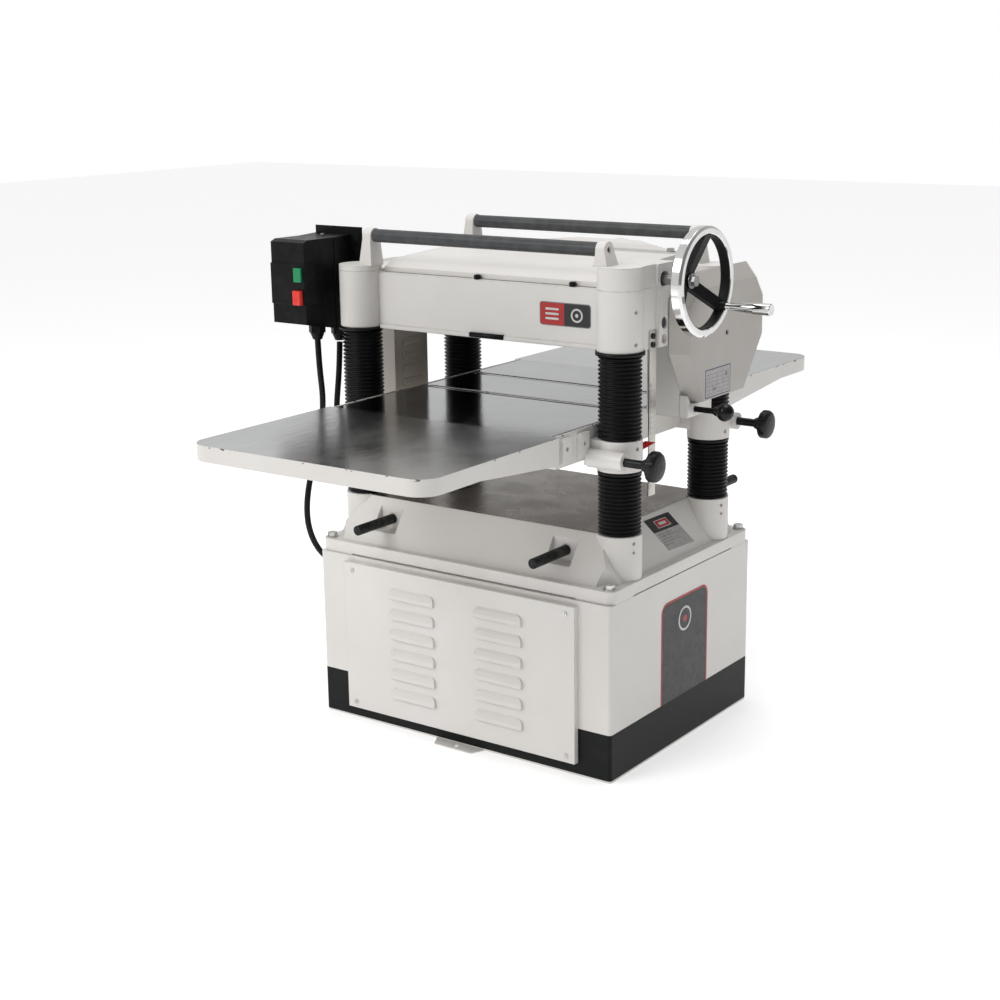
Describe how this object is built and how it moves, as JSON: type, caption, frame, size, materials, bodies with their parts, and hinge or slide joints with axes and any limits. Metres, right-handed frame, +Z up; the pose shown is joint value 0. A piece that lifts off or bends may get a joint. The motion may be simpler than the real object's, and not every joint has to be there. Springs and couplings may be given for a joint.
{
  "type": "thickness planer",
  "caption": "Four-post thickness planer: enclosed cabinet, cast table raised by a handwheel, cutterhead in a fixed head, return rollers on top and a lead with plug.",
  "frame": {"origin": "on the floor, midway between the two anchor tabs, under the middle of the cabinet", "axes": "+X along the cutterhead towards the handwheel, +Y towards the outfeed side, +Z up"},
  "size_m": [1.004, 1.408, 1.027],
  "materials": {
    "cabinet_paint": "satin",
    "casting_paint": "semi-gloss",
    "panel_paint": "satin",
    "table_steel": "ground and polished",
    "wing_steel": "ground and polished",
    "column_steel": "polished",
    "bellows_rubber": "matte",
    "screw_steel": "machined",
    "nut_bronze": "machined",
    "roller_steel": "ground",
    "knob_plastic": "matte",
    "pointer_red": "gloss",
    "return_roller_coat": "satin",
    "cutter_steel": "ground",
    "knife_steel": "ground",
    "belt_rubber": "matte",
    "chain_steel": "oiled",
    "bearing_steel": "polished",
    "finger_steel": "blackened",
    "hood_paint": "satin",
    "bolt_zinc": "zinc plated",
    "lever_black": "gloss",
    "cover_paint": "semi-gloss",
    "guard_paint": "satin",
    "motor_paint": "satin",
    "wheel_chrome": "polished",
    "bar_black": "satin",
    "switch_black": "textured",
    "button_green": "gloss",
    "button_red": "gloss",
    "gland_black": "matte",
    "scale_steel": "etched",
    "cable_black": "matte",
    "plug_black": "matte"
  },
  "bodies": {
    "frame": {"base_casting": "casting_paint", "bearings": "bearing_steel", "belt_guard": "guard_paint", "cabinet": "cabinet_paint", "cable_glands": "gland_black", "chains": "chain_steel", "chip_breaker": "finger_steel", "columns": "column_steel", "cover_screws": "bolt_zinc", "depth_scale": "scale_steel", "drive_belts": "belt_rubber", "dust_hood": "hood_paint", "front_panel": "panel_paint", "gear_cover": "cover_paint", "gearbox": "casting_paint", "head_caps": "casting_paint", "head_casting": "casting_paint", "hex_bolts": "bolt_zinc", "lower_bellows": "bellows_rubber", "mains_coil": "cable_black", "mains_lead": "cable_black", "mains_plug": "plug_black", "motor": "motor_paint", "motor_cable": "cable_black", "switch_base": "switch_black", "switch_bracket": "switch_black", "switch_cover": "switch_black", "upper_bellows": "bellows_rubber"},
    "table": {"table": "table_steel", "table_infeed": "wing_steel", "table_outfeed": "wing_steel", "lead_nuts": "nut_bronze", "depth_pointer": "pointer_red"},
    "bed_roller_in": {"bed_roller_in": "roller_steel"},
    "bed_roller_out": {"bed_roller_out": "roller_steel"},
    "lock_front": {"lock_knob_front": "knob_plastic"},
    "lock_rear": {"lock_knob_rear": "knob_plastic"},
    "screw_fl": {"lead_screw_fl": "screw_steel"},
    "screw_fr": {"lead_screw_fr": "screw_steel"},
    "screw_rl": {"lead_screw_rl": "screw_steel"},
    "screw_rr": {"lead_screw_rr": "screw_steel"},
    "handwheel": {"handwheel": "wheel_chrome"},
    "wheel_handle": {"wheel_handle": "wheel_chrome"},
    "cutterhead": {"cutterhead": "cutter_steel", "knives": "knife_steel"},
    "motor_rotor": {"motor_rotor": "screw_steel"},
    "infeed_roller": {"infeed_roller": "roller_steel"},
    "outfeed_roller": {"outfeed_roller": "roller_steel"},
    "feed_drive": {"feed_drive_shaft": "screw_steel"},
    "return_front": {"return_roller_front": "return_roller_coat"},
    "return_rear": {"return_roller_rear": "return_roller_coat"},
    "fingers": {"kickback_fingers": "finger_steel"},
    "top_cover": {"top_cover": "cover_paint"},
    "shift_lever": {"shift_lever": "lever_black"},
    "bar_fl": {"lifting_bar_fl": "bar_black"},
    "bar_fr": {"lifting_bar_fr": "bar_black"},
    "bar_rl": {"lifting_bar_rl": "bar_black"},
    "bar_rr": {"lifting_bar_rr": "bar_black"},
    "start_button": {"start_button": "button_green"},
    "stop_button": {"stop_button": "button_red"}
  },
  "joints": [
    {"name": "table_lift", "type": "slide", "parent": "frame", "child": "table", "axis": [0, 0, 1], "range_m": [-0.078, 0.12], "deforming": ["lower_bellows", "upper_bellows"]},
    {"name": "handwheel_turn", "type": "hinge", "parent": "frame", "child": "handwheel", "pos_m": [0.4, -0.088, 0.927], "axis": [1, 0, 0], "range_deg": [-4680, 7200]},
    {"name": "screw_fl_turn", "type": "hinge", "parent": "frame", "child": "screw_fl", "pos_m": [-0.305, -0.168, 0.6], "axis": [0, 0, 1], "range_deg": [-4680, 7200]},
    {"name": "screw_fr_turn", "type": "hinge", "parent": "frame", "child": "screw_fr", "pos_m": [0.305, -0.168, 0.6], "axis": [0, 0, 1], "range_deg": [-4680, 7200]},
    {"name": "screw_rl_turn", "type": "hinge", "parent": "frame", "child": "screw_rl", "pos_m": [-0.305, 0.168, 0.6], "axis": [0, 0, 1], "range_deg": [-4680, 7200]},
    {"name": "screw_rr_turn", "type": "hinge", "parent": "frame", "child": "screw_rr", "pos_m": [0.305, 0.168, 0.6], "axis": [0, 0, 1], "range_deg": [-4680, 7200]},
    {"name": "handle_spin", "type": "hinge", "parent": "handwheel", "child": "wheel_handle", "pos_m": [0.48, -0.02181, 0.87528], "axis": [1, 0, 0], "continuous": true},
    {"name": "cutter_spin", "type": "hinge", "parent": "frame", "child": "cutterhead", "pos_m": [0, 0.044, 0.838], "axis": [1, 0, 0], "continuous": true},
    {"name": "motor_spin", "type": "hinge", "parent": "frame", "child": "motor_rotor", "pos_m": [-0.3, 0.044, 0.19], "axis": [1, 0, 0], "continuous": true},
    {"name": "infeed_spin", "type": "hinge", "parent": "frame", "child": "infeed_roller", "pos_m": [0, -0.041, 0.817], "axis": [1, 0, 0], "continuous": true},
    {"name": "outfeed_spin", "type": "hinge", "parent": "frame", "child": "outfeed_roller", "pos_m": [0, 0.122, 0.817], "axis": [1, 0, 0], "continuous": true},
    {"name": "feed_drive_spin", "type": "hinge", "parent": "frame", "child": "feed_drive", "pos_m": [0.34, 0.052, 0.745], "axis": [1, 0, 0], "continuous": true},
    {"name": "bed_in_spin", "type": "hinge", "parent": "table", "child": "bed_roller_in", "pos_m": [0, -0.041, 0.6451], "axis": [1, 0, 0], "continuous": true},
    {"name": "bed_out_spin", "type": "hinge", "parent": "table", "child": "bed_roller_out", "pos_m": [0, 0.13, 0.6451], "axis": [1, 0, 0], "continuous": true},
    {"name": "return_front_spin", "type": "hinge", "parent": "frame", "child": "return_front", "pos_m": [0, -0.17, 0.984], "axis": [1, 0, 0], "continuous": true},
    {"name": "return_rear_spin", "type": "hinge", "parent": "frame", "child": "return_rear", "pos_m": [0, 0.17, 0.984], "axis": [1, 0, 0], "continuous": true},
    {"name": "finger_swing", "type": "hinge", "parent": "frame", "child": "fingers", "pos_m": [0, -0.086, 0.847], "axis": [1, 0, 0], "range_deg": [0, 12]},
    {"name": "cover_hinge", "type": "hinge", "parent": "frame", "child": "top_cover", "pos_m": [0, 0.16, 0.938], "axis": [1, 0, 0], "range_deg": [-30, 0]},
    {"name": "shift", "type": "slide", "parent": "frame", "child": "shift_lever", "axis": [1, 0, 0], "range_m": [-0.01, 0.01]},
    {"name": "lock_front_turn", "type": "hinge", "parent": "table", "child": "lock_front", "pos_m": [0.35, -0.216, 0.608], "axis": [1, 0, 0], "range_deg": [0, 180]},
    {"name": "lock_rear_turn", "type": "hinge", "parent": "table", "child": "lock_rear", "pos_m": [0.35, 0.216, 0.608], "axis": [1, 0, 0], "range_deg": [0, 180]},
    {"name": "bar_fl_slide", "type": "slide", "parent": "frame", "child": "bar_fl", "axis": [0, -1, 0], "range_m": [-0.014, 0.142]},
    {"name": "bar_fr_slide", "type": "slide", "parent": "frame", "child": "bar_fr", "axis": [0, -1, 0], "range_m": [-0.014, 0.142]},
    {"name": "bar_rl_slide", "type": "slide", "parent": "frame", "child": "bar_rl", "axis": [0, 1, 0], "range_m": [-0.014, 0.142]},
    {"name": "bar_rr_slide", "type": "slide", "parent": "frame", "child": "bar_rr", "axis": [0, 1, 0], "range_m": [-0.144, 0]},
    {"name": "start_press", "type": "slide", "parent": "frame", "child": "start_button", "axis": [0, 1, 0], "range_m": [0, 0.0035], "stiffness_N_per_m": 300, "springref_m": -0.001},
    {"name": "stop_press", "type": "slide", "parent": "frame", "child": "stop_button", "axis": [0, 1, 0], "range_m": [0, 0.005], "stiffness_N_per_m": 300, "springref_m": -0.001}
  ],
  "couplings": [
    {"joint": "table_lift", "follows": "handwheel_turn", "m_per_rad": 0.00095493},
    {"joint": "screw_fl_turn", "follows": "handwheel_turn", "ratio": 1},
    {"joint": "screw_fr_turn", "follows": "handwheel_turn", "ratio": 1},
    {"joint": "screw_rl_turn", "follows": "handwheel_turn", "ratio": 1},
    {"joint": "screw_rr_turn", "follows": "handwheel_turn", "ratio": 1},
    {"joint": "motor_spin", "follows": "cutter_spin", "ratio": 0.7},
    {"joint": "outfeed_spin", "follows": "infeed_spin", "ratio": 1},
    {"joint": "feed_drive_spin", "follows": "infeed_spin", "ratio": 1}
  ]
}
